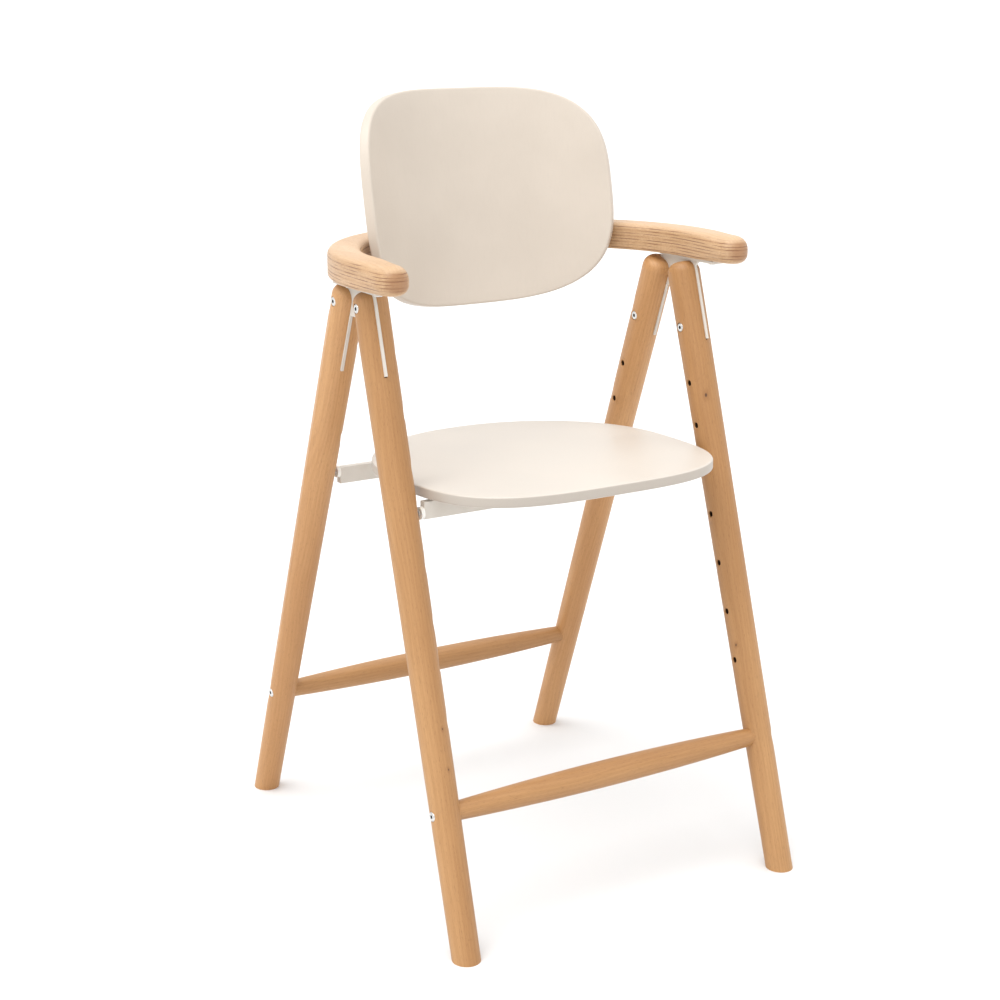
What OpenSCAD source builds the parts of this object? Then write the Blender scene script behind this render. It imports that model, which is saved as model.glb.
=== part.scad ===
// Baby high chair: two splayed A-frames of tapered round legs, a laminated
// horseshoe armrest, a curved backrest and a seat that sets at three heights.
// Millimetres, +Z up, front of the chair towards -Y, origin on the floor
// under the middle of the four feet.

/* [Frame] */
// Distance between the leg axes across the chair at the floor
track_w = 420; // [400:1:440]
// Distance between the front and rear leg axes at the floor
wheelbase = 515.4; // [500:1:530]
// Rearward run of a front leg for each millimetre of height
front_rake = 0.311; // [0.300:0.001:0.320]
// Forward run of a rear leg for each millimetre of height
rear_rake = 0.383; // [0.370:0.001:0.390]
// Inward lean of each A-frame, in degrees
frame_lean = 0.564; // [0.2:0.01:1]
// Radius of a leg at the floor
leg_r_foot = 15.5; // [14:0.5:17]
// Radius of a leg at its domed top
leg_r_top = 18.8; // [17:0.1:19]
// Height on the leg axis at which the rounded top begins
leg_top_z = 664.5; // [655:0.5:668]
// Rise of the rounded top along the leg axis
leg_top_rise = 17; // [12:0.5:18]
// Radius of the rounding around a leg top
leg_top_fillet = 12; // [8:0.5:14]

/* [Stretchers] */
// Height of the stretcher axes above the floor
stretcher_z = 149; // [120:1:180]
// Radius of a stretcher at its ends
stretcher_r_end = 10.5; // [9:0.5:12]
// Radius of a stretcher in the middle
stretcher_r_mid = 14.8; // [12:0.2:17]

/* [Top brackets] */
// Thickness of the steel bracket plate
plate_t = 3; // [2:0.5:4]
// How far the bracket's fingers stand out of the leg surface
finger_proud = 1.2; // [0.5:0.1:2]
// How far the bracket plate stands outwards of the leg axes
plate_out = 4; // [0:0.5:5]
// Height of the lower ends of the bracket's fingers
finger_z = 592; // [585:1:600]
// Height of the screws that enter from the outer face
outer_screw_z = 664; // [650:1:665]
// Height of the screws that enter from the inner face
inner_screw_z = 609; // [604:1:620]

/* [Armrest] */
// Height of the armrest's underside
arm_z = 688; // [686:1:695]
// Thickness of the armrest
arm_t = 31; // [26:1:32]
// Width of the armrest seen from above
arm_w = 37; // [34:1:42]
// Radius of the armrest's upper edges
arm_edge_r = 8; // [5:0.5:11]
// Radius of the armrest's lower edges
arm_low_edge_r = 3; // [2:0.5:8]
// Half the distance between the centre lines of the two arms
arm_half_w = 216; // [212:0.2:218]
// Centre-line radius of the armrest's bends
arm_bend_r = 180; // [170:1:190]
// Y of the centre line where the armrest passes behind the backrest
arm_back_y = 123.5; // [120:0.5:128]
// Y of the centre of each rounded arm tip
arm_tip_y = -122; // [-150:1:-115]

/* [Backrest] */
// Radius of the backrest's rear face
back_r = 229; // [220:1:240]
// Thickness of the backrest shell
back_t = 12; // [9:0.5:14]
// Half the backrest's width measured around its curve
back_half_arc = 182.6; // [170:0.2:186]
// Half the backrest's height
back_half_h = 124.7; // [110:0.1:130]
// Rearward lean of the backrest, in degrees
back_lean = 11.7; // [8:0.1:13]
// Y of the rear face at the backrest's centre
back_y = 110.2; // [105:0.1:112]
// Height of the backrest's centre
back_z = 751.8; // [745:0.1:760]

/* [Seat] */
// Half the seat board's width
seat_half_w = 181.7; // [175:0.1:182]
// Half the seat board's depth
seat_half_d = 173.5; // [165:0.5:175]
// Y of the middle of the seat board
seat_y = -46.4; // [-50:0.2:-42]
// Thickness of the seat board
seat_t = 12; // [10:0.5:14]
// Height of the seat board's top face at y = 0
seat_top_z = 477; // [475:0.5:480]
// Fall of the seat board towards the rear, in degrees
seat_lean = 1.3; // [0:0.1:2]

/* [Height holes] */
// Height of the lowest seat level
seat_level_z = 452; // [450:0.5:455]
// Height difference between seat levels
seat_level_pitch = 47.2; // [44:0.1:48]
// Height of the highest footrest level
foot_level_z = 400; // [395:1:405]
// Height difference between footrest levels
foot_level_pitch = 54.6; // [50:0.2:56]
// Radius of a height hole
level_hole_r = 3.25; // [3:0.05:3.5]
// Depth of a height hole from the leg's inner face
level_hole_depth = 22; // [16:1:24]

/* [Crossbars] */
// Height of a crossbar's section
bar_h = 19; // [16:1:22]
// Thickness of a crossbar's section
bar_t = 9; // [7:1:11]
// Gap between the front crossbar and the seat board
front_bar_gap = 3; // [2:0.5:4]
// Gap between the rear crossbar and the seat board
rear_bar_gap = 6; // [3:0.5:7]

/* [Hidden] */

BEECH = "burlywood";
CREAM = "antiquewhite";
STEEL = "silver";

eps = 0.01;
overlap = 0.2;              // run of one cut into the next
fit = 0.05;                 // clearance of a part in its own pocket
side_x = track_w / 2;
feet_y = wheelbase / 2;
steps = 96;                 // points around a seat or backrest outline

// Screw sizes
M6_r = 3;
M5_r = 2.5;
head_r = 5.5;
head_h = 3;
socket_af_r = 2.3;          // corner radius of a hexagon socket
socket_depth = 2;

// ------------------------------------------------------------------ helpers

function leg_y(front, z) = front ? -feet_y + front_rake * z : feet_y - rear_rake * z;
function leg_r(z) = leg_r_foot + (leg_r_top - leg_r_foot) * z / leg_top_z;
function plane_x(z) = side_x - tan(frame_lean) * z;
function inner_x(z) = plane_x(z) - leg_r(z);
function seat_bottom_z(y) = seat_top_z - seat_t / cos(seat_lean) - tan(seat_lean) * y;

// The right-hand part, or its mirror image on the left
module on_side(right) {
    if (right) children();
    else mirror([1, 0, 0]) children();
}

// Both mirror images
module on_both_sides() {
    children();
    mirror([1, 0, 0]) children();
}

// Frame of the right-hand A-frame: x = 0 is its middle plane, +x is outwards
module a_frame() {
    translate([side_x, 0, 0]) rotate([0, -frame_lean, 0]) children();
}

// Frame of one leg within the A-frame: +z runs up the leg from the floor
module leg_frame(front) {
    translate([0, leg_y(front, 0), 0])
        rotate([front ? -atan(front_rake) : atan(rear_rake), 0, 0]) children();
}

function leg_length(front) =
    leg_top_z * sqrt(1 + pow(front ? front_rake : rear_rake, 2));
function along_leg(front, z) = leg_length(front) * z / leg_top_z;

// A screw along +x: its head's underside is at x = 0, its shank runs to -length
module screw(length, shank_r, head_radius, head_height) {
    difference() {
        rotate([0, 90, 0]) union() {
            translate([0, 0, -length]) cylinder(r = shank_r, h = length + eps, $fn = 32);
            cylinder(r = head_radius, h = head_height, $fn = 48);
        }
        translate([head_height - socket_depth, 0, 0])
            rotate([0, 90, 0]) cylinder(r = socket_af_r, h = socket_depth + eps, $fn = 6);
    }
}

// --------------------------------------------------------------------- legs

bracket_screw_len = 28;
bracket_screw_sink = 3.2;
stretcher_screw_len = 46;
stretcher_screw_sink = 2.5;
tenon_depth = 5;
hole_edge = 1.2;            // depth of the countersink of a height hole

// Half profile of the top of a leg
module leg_top_profile() {
    square([leg_r_top, leg_top_rise - leg_top_fillet]);
    square([leg_r_top - leg_top_fillet, leg_top_rise]);
    translate([leg_r_top - leg_top_fillet, leg_top_rise - leg_top_fillet]) intersection() {
        circle(r = leg_top_fillet, $fn = 64);
        square(leg_top_fillet);
    }
}

module leg_blank(front) {
    foot_cut = 40;
    length = leg_length(front);
    taper = (leg_r_top - leg_r_foot) / length;
    a_frame() leg_frame(front) {
        translate([0, 0, -foot_cut])
            cylinder(r1 = leg_r_foot - taper * foot_cut, r2 = leg_r_top, h = length + foot_cut, $fn = 64);
        translate([0, 0, length]) rotate_extrude($fn = 64) leg_top_profile();
    }
}

// Saw kerf that takes a finger of the top bracket
module leg_kerf(front) {
    start = along_leg(front, finger_z) - 1;
    a_frame() leg_frame(front)
        translate([plate_out - plate_t / 2 - fit, -40, start]) cube([plate_t + 2 * fit, 80, 200]);
}

// Blind countersunk hole along X from the inner face of the leg
module level_hole(front, z) {
    translate([inner_x(z), leg_y(front, z), z]) rotate([0, 90, 0]) {
        translate([0, 0, -5]) cylinder(r = level_hole_r, h = level_hole_depth + 5, $fn = 32);
        translate([0, 0, -hole_edge]) cylinder(
            r1 = level_hole_r + 2 * hole_edge, r2 = level_hole_r - overlap,
            h = 2 * hole_edge + overlap, $fn = 32
        );
    }
}

module bracket_screw_hole(front, z, outer) {
    seat_x = leg_r(z) - bracket_screw_sink;
    a_frame() translate([0, leg_y(front, z), z]) rotate([0, outer ? 90 : -90, 0]) {
        translate([0, 0, seat_x - bracket_screw_len - 0.5])
            cylinder(r = M5_r + fit, h = bracket_screw_len + 1, $fn = 32);
        translate([0, 0, seat_x]) cylinder(r = head_r + fit, h = 20, $fn = 48);
    }
}

module stretcher_pocket(front) {
    z = stretcher_z;
    translate([0, leg_y(front, z), z]) rotate([0, 90, 0]) {
        cylinder(r = stretcher_r_end + fit, h = inner_x(z) + tenon_depth + fit, $fn = 64);
        cylinder(r = M6_r + fit, h = side_x + 60, $fn = 32);
        translate([0, 0, plane_x(z) + leg_r(z) - stretcher_screw_sink])
            cylinder(r = head_r + fit, h = 20, $fn = 48);
    }
}

module leg(front) {
    color(BEECH) difference() {
        leg_blank(front);
        translate([0, -500, -100]) cube([500, 1000, 100]);
        leg_kerf(front);
        bracket_screw_hole(front, outer_screw_z, true);
        bracket_screw_hole(front, inner_screw_z, false);
        stretcher_pocket(front);
        for (i = [0:2]) level_hole(front, seat_level_z + i * seat_level_pitch);
        if (front) for (i = [0:3]) level_hole(true, foot_level_z - i * foot_level_pitch);
    }
}

module leg_front_left() on_side(false) leg(true);
module leg_front_right() on_side(true) leg(true);
module leg_rear_left() on_side(false) leg(false);
module leg_rear_right() on_side(true) leg(false);

// --------------------------------------------------------------- stretchers

insert_r = 5;
insert_len = 22;
stretcher_half = inner_x(stretcher_z) + tenon_depth;
insert_bore_r = M6_r + fit;

function barrel_r(t) = stretcher_r_end + (stretcher_r_mid - stretcher_r_end) * (1 - t * t);

module stretcher(front) {
    rings = 12;
    barrel_half = inner_x(stretcher_z) - 0.5;
    profile = concat(
        [[0, -stretcher_half], [stretcher_r_end, -stretcher_half]],
        [for (i = [-rings:rings]) [barrel_r(i / rings), barrel_half * i / rings]],
        [[stretcher_r_end, stretcher_half], [0, stretcher_half]]
    );
    color(BEECH) difference() {
        translate([0, leg_y(front, stretcher_z), stretcher_z])
            rotate([0, 90, 0]) rotate_extrude($fn = 64) polygon(profile);
        on_both_sides() translate([stretcher_half - insert_len, leg_y(front, stretcher_z), stretcher_z])
            rotate([0, 90, 0]) cylinder(r = insert_r + fit, h = insert_len + 1, $fn = 32);
    }
}

module stretcher_front() stretcher(true);
module stretcher_rear() stretcher(false);

// Threaded sleeves let into the stretcher ends
module stretcher_inserts() {
    color(STEEL) for (front = [true, false]) on_both_sides()
        translate([stretcher_half - insert_len + fit, leg_y(front, stretcher_z), stretcher_z])
            rotate([0, 90, 0]) difference() {
                cylinder(r = insert_r, h = insert_len - 2 * fit, $fn = 32);
                translate([0, 0, -1]) cylinder(r = insert_bore_r, h = insert_len + 2, $fn = 32);
            }
}

module stretcher_screws() {
    z = stretcher_z;
    color(STEEL) for (front = [true, false]) on_both_sides()
        translate([plane_x(z) + leg_r(z) - stretcher_screw_sink, leg_y(front, z), z])
            screw(stretcher_screw_len, M6_r, head_r, head_h);
}

// ------------------------------------------------------------- top brackets

flange_x0 = 203;
flange_x1 = 224;
flange_y0 = -103;
flange_y1 = -2;
web_low_z = 650;
arm_screw_x = 214.5;
arm_screw_ys = [-90, -24];

finger_half = leg_r_top + finger_proud;

// Point of a finger's edge beside the leg axis at height z: side is -1 or 1
function finger_point(front, side, z) =
    let (lean = front ? -front_rake : rear_rake, reach = side * finger_half / sqrt(1 + lean * lean))
        [leg_y(front, z) + reach, z + reach * lean];

// Height on a leg axis at which the finger's inner edge stands at height z
function finger_edge_z(front, z) =
    let (lean = front ? front_rake : rear_rake)
        z + finger_half * lean / sqrt(1 + lean * lean);

// Two fingers, the web between them and its rise over the leg tops
function plate_outline() =
    let (shoulder = leg_top_z + 14, top = arm_z - plate_t / 2) [
        finger_point(true, -1, finger_z),
        finger_point(true, 1, finger_z),
        finger_point(true, 1, finger_edge_z(true, web_low_z)),
        finger_point(false, -1, finger_edge_z(false, web_low_z)),
        finger_point(false, -1, finger_z),
        finger_point(false, 1, finger_z),
        finger_point(false, 1, leg_top_z - 8),
        [leg_y(false, leg_top_z) + finger_half * 0.4, shoulder - 4],
        [flange_y1 - 3, top],
        [leg_y(true, leg_top_z) - finger_half - 4, top],
        [leg_y(true, leg_top_z) - finger_half * 0.8, shoulder],
        finger_point(true, -1, leg_top_z)
    ];

module top_bracket() {
    color(CREAM) difference() {
        union() {
            a_frame() rotate([90, 0, 90]) translate([0, 0, plate_out - plate_t / 2])
                linear_extrude(plate_t) polygon(plate_outline());
            translate([flange_x0, flange_y0, arm_z - plate_t])
                cube([flange_x1 - flange_x0, flange_y1 - flange_y0, plate_t]);
        }
        for (front = [true, false]) {
            bracket_screw_hole(front, outer_screw_z, true);
            bracket_screw_hole(front, inner_screw_z, false);
        }
        for (y = arm_screw_ys) translate([arm_screw_x, y, arm_z - plate_t - 1])
            cylinder(r = M5_r + fit, h = plate_t + 2, $fn = 32);
    }
}

module top_bracket_left() on_side(false) top_bracket();
module top_bracket_right() on_side(true) top_bracket();

module bracket_screws(outer) {
    z = outer ? outer_screw_z : inner_screw_z;
    turn = outer ? 0 : 180;
    color(STEEL) on_both_sides() for (front = [true, false])
        a_frame() translate([0, leg_y(front, z), z]) rotate([0, 0, turn])
            translate([leg_r(z) - bracket_screw_sink, 0, 0])
                screw(bracket_screw_len, M5_r, head_r, head_h);
}

module bracket_screws_outer() bracket_screws(true);
module bracket_screws_inner() bracket_screws(false);

// ------------------------------------------------------------------ armrest

arm_bend_x = arm_half_w - arm_bend_r;
arm_bend_y = arm_back_y - arm_bend_r;
arm_screw_depth = 18;
arm_screw_head_h = 2.4;
back_screw_x = 45;
back_screw_z = arm_z + arm_t / 2;
back_screw_sink = 8;

// Upper half of the armrest's section, its edges rounded by r
module half_section(r) {
    translate([-arm_w / 2, -1]) square([arm_w, arm_t / 2 - r + 1]);
    translate([r - arm_w / 2, -1]) square([arm_w - 2 * r, arm_t / 2 + 1]);
    for (x = [r - arm_w / 2, arm_w / 2 - r]) translate([x, arm_t / 2 - r]) circle(r = r, $fn = 32);
}

// Rounded section, centred on the origin
module arm_section() {
    half_section(arm_edge_r);
    mirror([0, 1]) half_section(arm_low_edge_r);
}

// One half of the horseshoe: back straight, bend, arm and rounded tip
module half_armrest() {
    translate([arm_bend_x, arm_bend_y, 0]) rotate_extrude(angle = 90, $fn = 160)
        translate([arm_bend_r, 0]) arm_section();
    translate([0, arm_back_y, 0]) rotate([90, 0, 90]) linear_extrude(arm_bend_x) arm_section();
    translate([arm_half_w, arm_bend_y, 0]) rotate([90, 0, 0])
        linear_extrude(arm_bend_y - arm_tip_y) arm_section();
    translate([arm_half_w, arm_tip_y, 0]) rotate([0, 0, 180]) rotate_extrude(angle = 180, $fn = 96)
        intersection() {
            arm_section();
            translate([0, -arm_t]) square([arm_w, 2 * arm_t]);
        }
}

module back_screw_place() {
    on_both_sides() translate([back_screw_x, 0, back_screw_z]) children();
}

module armrest() {
    color(BEECH) difference() {
        translate([0, 0, arm_z + arm_t / 2]) on_both_sides() half_armrest();
        on_both_sides() for (y = arm_screw_ys) translate([arm_screw_x, y, arm_z - 1])
            cylinder(r = M5_r + fit, h = arm_screw_depth + 1, $fn = 32);
        back_screw_place() rotate([-90, 0, 0]) {
            cylinder(r = M6_r + fit, h = 200, $fn = 32);
            translate([0, 0, arm_back_y + arm_w / 2 - back_screw_sink])
                cylinder(r = head_r + fit, h = 40, $fn = 48);
        }
    }
}

module armrest_screws() {
    color(STEEL) on_both_sides() for (y = arm_screw_ys)
        translate([arm_screw_x, y, arm_z - plate_t]) rotate([0, 90, 0])
            screw(plate_t + arm_screw_depth - 2, M5_r, 4.5, arm_screw_head_h);
}

// ----------------------------------------------------------------- backrest

back_exp_top = 3.0;
back_exp_low = 3.2;
back_screw_bite = 8;

function spow(v, p) = sign(v) * pow(abs(v), p);

// Superellipse outline whose half-plane exponents may differ
function outline_points(half_x, half_y, exp_pos, exp_neg) = [
    for (i = [0:steps - 1])
        let (a = 360 * i / steps, e = sin(a) >= 0 ? exp_pos : exp_neg)
            [half_x * spow(cos(a), 2 / e), half_y * spow(sin(a), 2 / e)]
];

// Backrest frame: origin at the centre of the rear face, +z up the lean
module back_frame() {
    translate([0, back_y, back_z]) rotate([-back_lean, 0, 0]) children();
}

module backrest() {
    mid_r = back_r - back_t / 2;
    face = [
        for (p = outline_points(back_half_arc, back_half_h, back_exp_top, back_exp_low))
            [mid_r * sin(p[0] / back_r * 180 / PI), p[1]]
    ];
    color(CREAM) difference() {
        back_frame() intersection() {
            translate([0, -back_r, -back_half_h - 5]) difference() {
                cylinder(r = back_r, h = 2 * back_half_h + 10, $fn = 180);
                translate([0, 0, -1]) cylinder(r = back_r - back_t, h = 2 * back_half_h + 12, $fn = 180);
            }
            translate([0, 20, 0]) rotate([90, 0, 0]) linear_extrude(back_r) polygon(face);
        }
        back_screw_place() translate([0, back_face_y() - back_screw_bite, 0]) rotate([-90, 0, 0])
            cylinder(r = M6_r + fit, h = 40, $fn = 32);
    }
}

// Y of the rear face at the screws
function back_face_y() =
    let (z = (back_screw_z - back_z) / cos(back_lean))
        back_y + z * sin(back_lean) - back_r + sqrt(back_r * back_r - back_screw_x * back_screw_x);

// Bush between the armrest and the backrest's curved rear face
module backrest_spacer() {
    bush_len = 30;
    difference() {
        translate([back_screw_x, back_face_y() - 6, back_screw_z]) rotate([-90, 0, 0]) difference() {
            cylinder(r = 8, h = bush_len, $fn = 48);
            translate([0, 0, -1]) cylinder(r = M6_r + fit, h = bush_len + 2, $fn = 32);
        }
        back_frame() translate([0, -back_r, -200]) cylinder(r = back_r + fit, h = 400, $fn = 180);
        translate([arm_bend_x, arm_bend_y, arm_z]) difference() {
            cylinder(r = arm_bend_r + arm_w, h = arm_t, $fn = 160);
            translate([0, 0, -1]) cylinder(r = arm_bend_r - arm_w / 2 - fit, h = arm_t + 2, $fn = 160);
        }
    }
}

module backrest_spacers() {
    color(STEEL) on_both_sides() backrest_spacer();
}

module backrest_screws() {
    seat_y_pos = arm_back_y + arm_w / 2 - back_screw_sink;
    length = seat_y_pos - back_face_y() + back_screw_bite - 1;
    color(STEEL) back_screw_place() translate([0, seat_y_pos, 0]) rotate([0, 0, 90])
        screw(length, M6_r, head_r, head_h);
}

// --------------------------------------------------------------- seat board

seat_exp_rear = 2.1;
seat_exp_front = 3.35;
seat_edge = 4;
edge_steps = 3;
board_screw_x = 110;
board_screw_bite = 8;
spacer_t = 1.2;
front_screw_y = leg_y(true, seat_level_z) + 40;
rear_screw_y = leg_y(false, seat_level_z) - 46;
board_screw_places = [
    for (x = [-board_screw_x, board_screw_x], y = [front_screw_y, rear_screw_y]) [x, y]
];

// Board frame: z = 0 is the underside, with its fall towards the rear
module board_frame() {
    translate([0, 0, seat_bottom_z(0)]) rotate([-seat_lean, 0, 0]) children();
}

// Place on the underside of the board, under a screw
module board_screw_place() {
    for (p = board_screw_places) board_frame() translate([p[0], p[1] / cos(seat_lean), 0]) children();
}

// Slab with its edges eased in steps
module seat_slab() {
    step_h = seat_edge / edge_steps;
    for (i = [0:edge_steps]) {
        inset = seat_edge * (1 - sqrt(1 - pow(1 - i / edge_steps, 2)));
        low = i * step_h;
        outline = outline_points(
            seat_half_w - inset, seat_half_d - inset, seat_exp_rear, seat_exp_front
        );
        translate([0, seat_y, low]) linear_extrude(seat_t - 2 * low) polygon(outline);
    }
}

module seat_board() {
    color(CREAM) difference() {
        board_frame() seat_slab();
        board_screw_place() translate([0, 0, -1])
            cylinder(r = M5_r + fit, h = board_screw_bite + 1, $fn = 32);
    }
}

module seat_board_spacers() {
    color(STEEL) board_screw_place() translate([0, 0, -spacer_t]) difference() {
        cylinder(r = 8, h = spacer_t, $fn = 48);
        translate([0, 0, -1]) cylinder(r = M5_r + fit, h = spacer_t + 2, $fn = 32);
    }
}

// Screws that pass through the crossbars' slotted lugs into the board
module seat_board_screws() {
    color(STEEL) board_screw_place() translate([0, 0, -board_screw_drop]) rotate([0, 90, 0])
        screw(board_screw_drop + board_screw_bite - 1, M5_r, 4.5, 2.4);
}

// ---------------------------------------------------------------- crossbars

lug_t = 3;
lug_w = 26;
lug_slot_r = 3;
collar_r = 7;
collar_t = 4;
stud_out = 1.4;
stud_in = 12;
bar_reach = inner_x(seat_level_z + 2 * seat_level_pitch) - 0.2;  // clears the legs at every level
bar_half = bar_reach - stud_out - collar_t;
front_bar_top = seat_bottom_z(leg_y(true, seat_level_z)) - front_bar_gap;
rear_bar_top = seat_bottom_z(leg_y(false, seat_level_z)) - rear_bar_gap;
seat_travel = 2 * seat_level_pitch;
board_screw_drop = seat_bottom_z(rear_screw_y) - rear_bar_top + lug_t + 1.6;

function bar_top(front) = front ? front_bar_top : rear_bar_top;
function bar_y(front) = leg_y(front, seat_level_z);
function screw_y(front) = front ? front_screw_y : rear_screw_y;
function slot_run(front) = seat_travel * (front ? front_rake : rear_rake);

// Slotted lug that reaches from the bar towards the middle of the seat
module lug(front) {
    way = front ? 1 : -1;
    tip = abs(screw_y(front) - bar_y(front)) + 9;
    difference() {
        translate([-lug_w / 2, way > 0 ? 0 : -tip, -lug_t]) cube([lug_w, tip, lug_t]);
        far = abs(screw_y(front) - bar_y(front)) + 1;
        near = far - slot_run(front) - 2;
        for (d = [near, far]) translate([0, way * d, -lug_t - 1])
            cylinder(r = lug_slot_r, h = lug_t + 2, $fn = 32);
        translate([-lug_slot_r, way > 0 ? near : -far, -lug_t - 1])
            cube([2 * lug_slot_r, far - near, lug_t + 2]);
    }
}

module crossbar(front) {
    color(CREAM) difference() {
        translate([0, bar_y(front), bar_top(front)]) {
            translate([-bar_half, -bar_t / 2, -bar_h]) cube([2 * bar_half, bar_t, bar_h]);
            for (x = [-board_screw_x, board_screw_x]) translate([x, 0, 0]) lug(front);
        }
        on_both_sides() translate([bar_half - stud_in, bar_y(front), seat_level_z])
            rotate([0, 90, 0]) cylinder(r = M6_r + fit, h = stud_in + 1, $fn = 32);
    }
}

module crossbar_collars(front) {
    color(STEEL) on_both_sides() translate([bar_half, bar_y(front), seat_level_z])
        rotate([0, 90, 0]) difference() {
            cylinder(r = collar_r, h = collar_t, $fn = 48);
            translate([0, 0, -1]) cylinder(r = M6_r + fit, h = collar_t + 2, $fn = 32);
        }
}

module crossbar_studs(front) {
    color(STEEL) on_both_sides() translate([bar_half - stud_in + 0.5, bar_y(front), seat_level_z])
        rotate([0, 90, 0]) cylinder(r = M6_r, h = stud_in - 0.5 + collar_t + stud_out, $fn = 32);
}

module crossbar_front() crossbar(true);
module crossbar_front_collars() crossbar_collars(true);
module crossbar_front_studs() crossbar_studs(true);
module crossbar_rear() crossbar(false);
module crossbar_rear_collars() crossbar_collars(false);
module crossbar_rear_studs() crossbar_studs(false);

leg_front_left();
leg_front_right();
leg_rear_left();
leg_rear_right();
stretcher_front();
stretcher_rear();
stretcher_screws();
stretcher_inserts();
top_bracket_left();
top_bracket_right();
bracket_screws_outer();
bracket_screws_inner();
armrest();
armrest_screws();
backrest();
backrest_spacers();
backrest_screws();
seat_board();
seat_board_spacers();
seat_board_screws();
crossbar_front();
crossbar_front_collars();
crossbar_front_studs();
crossbar_rear();
crossbar_rear_collars();
crossbar_rear_studs();
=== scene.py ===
import math
from collections import namedtuple

import bmesh
import bpy
from mathutils import Matrix, Vector


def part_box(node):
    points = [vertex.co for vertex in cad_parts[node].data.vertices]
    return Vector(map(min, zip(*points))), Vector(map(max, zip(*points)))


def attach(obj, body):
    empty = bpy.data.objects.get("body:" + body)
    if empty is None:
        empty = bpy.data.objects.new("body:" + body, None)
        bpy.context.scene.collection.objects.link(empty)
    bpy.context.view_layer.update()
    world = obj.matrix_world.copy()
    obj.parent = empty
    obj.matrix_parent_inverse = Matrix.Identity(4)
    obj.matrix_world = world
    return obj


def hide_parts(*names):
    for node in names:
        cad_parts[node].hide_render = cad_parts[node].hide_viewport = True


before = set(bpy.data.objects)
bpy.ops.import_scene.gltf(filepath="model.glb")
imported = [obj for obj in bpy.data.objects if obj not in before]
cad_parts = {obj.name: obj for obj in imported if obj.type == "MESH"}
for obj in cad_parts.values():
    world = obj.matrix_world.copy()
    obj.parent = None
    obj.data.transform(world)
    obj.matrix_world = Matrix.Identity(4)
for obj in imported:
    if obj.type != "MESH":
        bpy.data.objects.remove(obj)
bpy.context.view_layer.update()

MM = 0.001

# ------------------------------------------------------------------ design values

# Legs: how far each goes along Y per unit of height, the lean of both A-frames towards the
# middle, the place of a leg's axis on the floor, its radius there and what it gains along the leg
FRONT_RAKE = 0.311
REAR_RAKE = 0.383
FRAME_LEAN = math.radians(0.564)
FOOT_X = 210 * MM
FOOT_Y = 257.7 * MM
LEG_FOOT_R = 15.5 * MM
LEG_TAPER = 3.3 / 695

# Screws: button head, hexagonal socket, shanks and the lengths of two kinds
HEAD_R = 5.5 * MM
HEAD_H = 3 * MM
SOCKET_R = 2.3 * MM
SOCKET_DEPTH = 2 * MM
M5_R = 2.5 * MM
M6_R = 3 * MM
STRETCHER_SCREW_LEN = 46 * MM
BRACKET_SCREW_LEN = 28 * MM

# Armrest: its centre line's distance from the middle and bend radius, its plies, and the
# edge radii along the arms and at the tips, which blend into each other
ARM_HALF_W = 216 * MM
ARM_BEND_R = 180 * MM
ARM_PLIES = 9
ARM_EDGE = 8 * MM
ARM_LOW_EDGE = 3 * MM
ARM_TIP_EDGE = 15 * MM
ARM_TIP_LOW_EDGE = 11 * MM
ARM_TIP_LENGTH = 21 * MM
ARM_TIP_BLEND = 50 * MM

# Backrest: a superellipse bent to a radius, a little squarer at the bottom than at the top
BACK_R = 229 * MM
BACK_T = 12 * MM
BACK_EDGE = 2.6 * MM
BACK_HALF_ARC = 182.6 * MM
BACK_HALF_H = 124.7 * MM
BACK_TOP_POWER = 3.0
BACK_LOW_POWER = 3.2
BACK_LEAN = math.radians(11.7)

# Seat: a superellipse, squarer in front than behind
SEAT_T = 12 * MM
SEAT_EDGE = 2.2 * MM
SEAT_REAR_POWER = 2.1
SEAT_FRONT_POWER = 3.35
SEAT_LEAN = math.radians(1.3)

# Marks in the wood of the front legs: the point on the surface and the radius
PIN_KNOT = ((0.1965, -0.108, 0.5353), 1.9 * MM)
DARK_STREAK = ((0.1921, -0.1853, 0.2548), 1.3 * MM)
HIGH_SPECK = ((-0.2046, -0.2001, 0.2402), 1.0 * MM)
LOW_SPECK = ((-0.2045, -0.2127, 0.1988), 1.0 * MM)

# Steps round the curves
ARM_STRAIGHT_STEPS = 8
ARM_BEND_STEPS = 28
ARM_TIP_STEPS = 16
ARM_EDGE_STEPS = 7
BOARD_EDGE_STEPS = 6
BOARD_SIDES = 192
BOARD_FACE_RINGS = 10
SCREW_SIDES = 48
SCREW_DOME_STEPS = 6

# Studio: camera, floor and light
CAMERA_PLACE = (-1.08907, -1.80357, 1.00408)
CAMERA_LOOKS_DOWN = math.radians(15.7)
CAMERA_TURN = math.radians(-30.768)
CAMERA_LENS = 67.6
FLOOR_HALF_SIZE = 300
FLOOR_DARK = (0.73, 0.73, 0.73, 1)
FLOOR_LIGHT = (0.75, 0.75, 0.75, 1)
SKY_HORIZON = 0.98
SKY_ZENITH = 1.75
SUN_STRENGTH = 1.6
SUN_ANGLE = math.radians(50)
SUN_FROM = (-0.46, -0.12, 0.88)


# ------------------------------------------------------------------ mesh helpers

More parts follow.
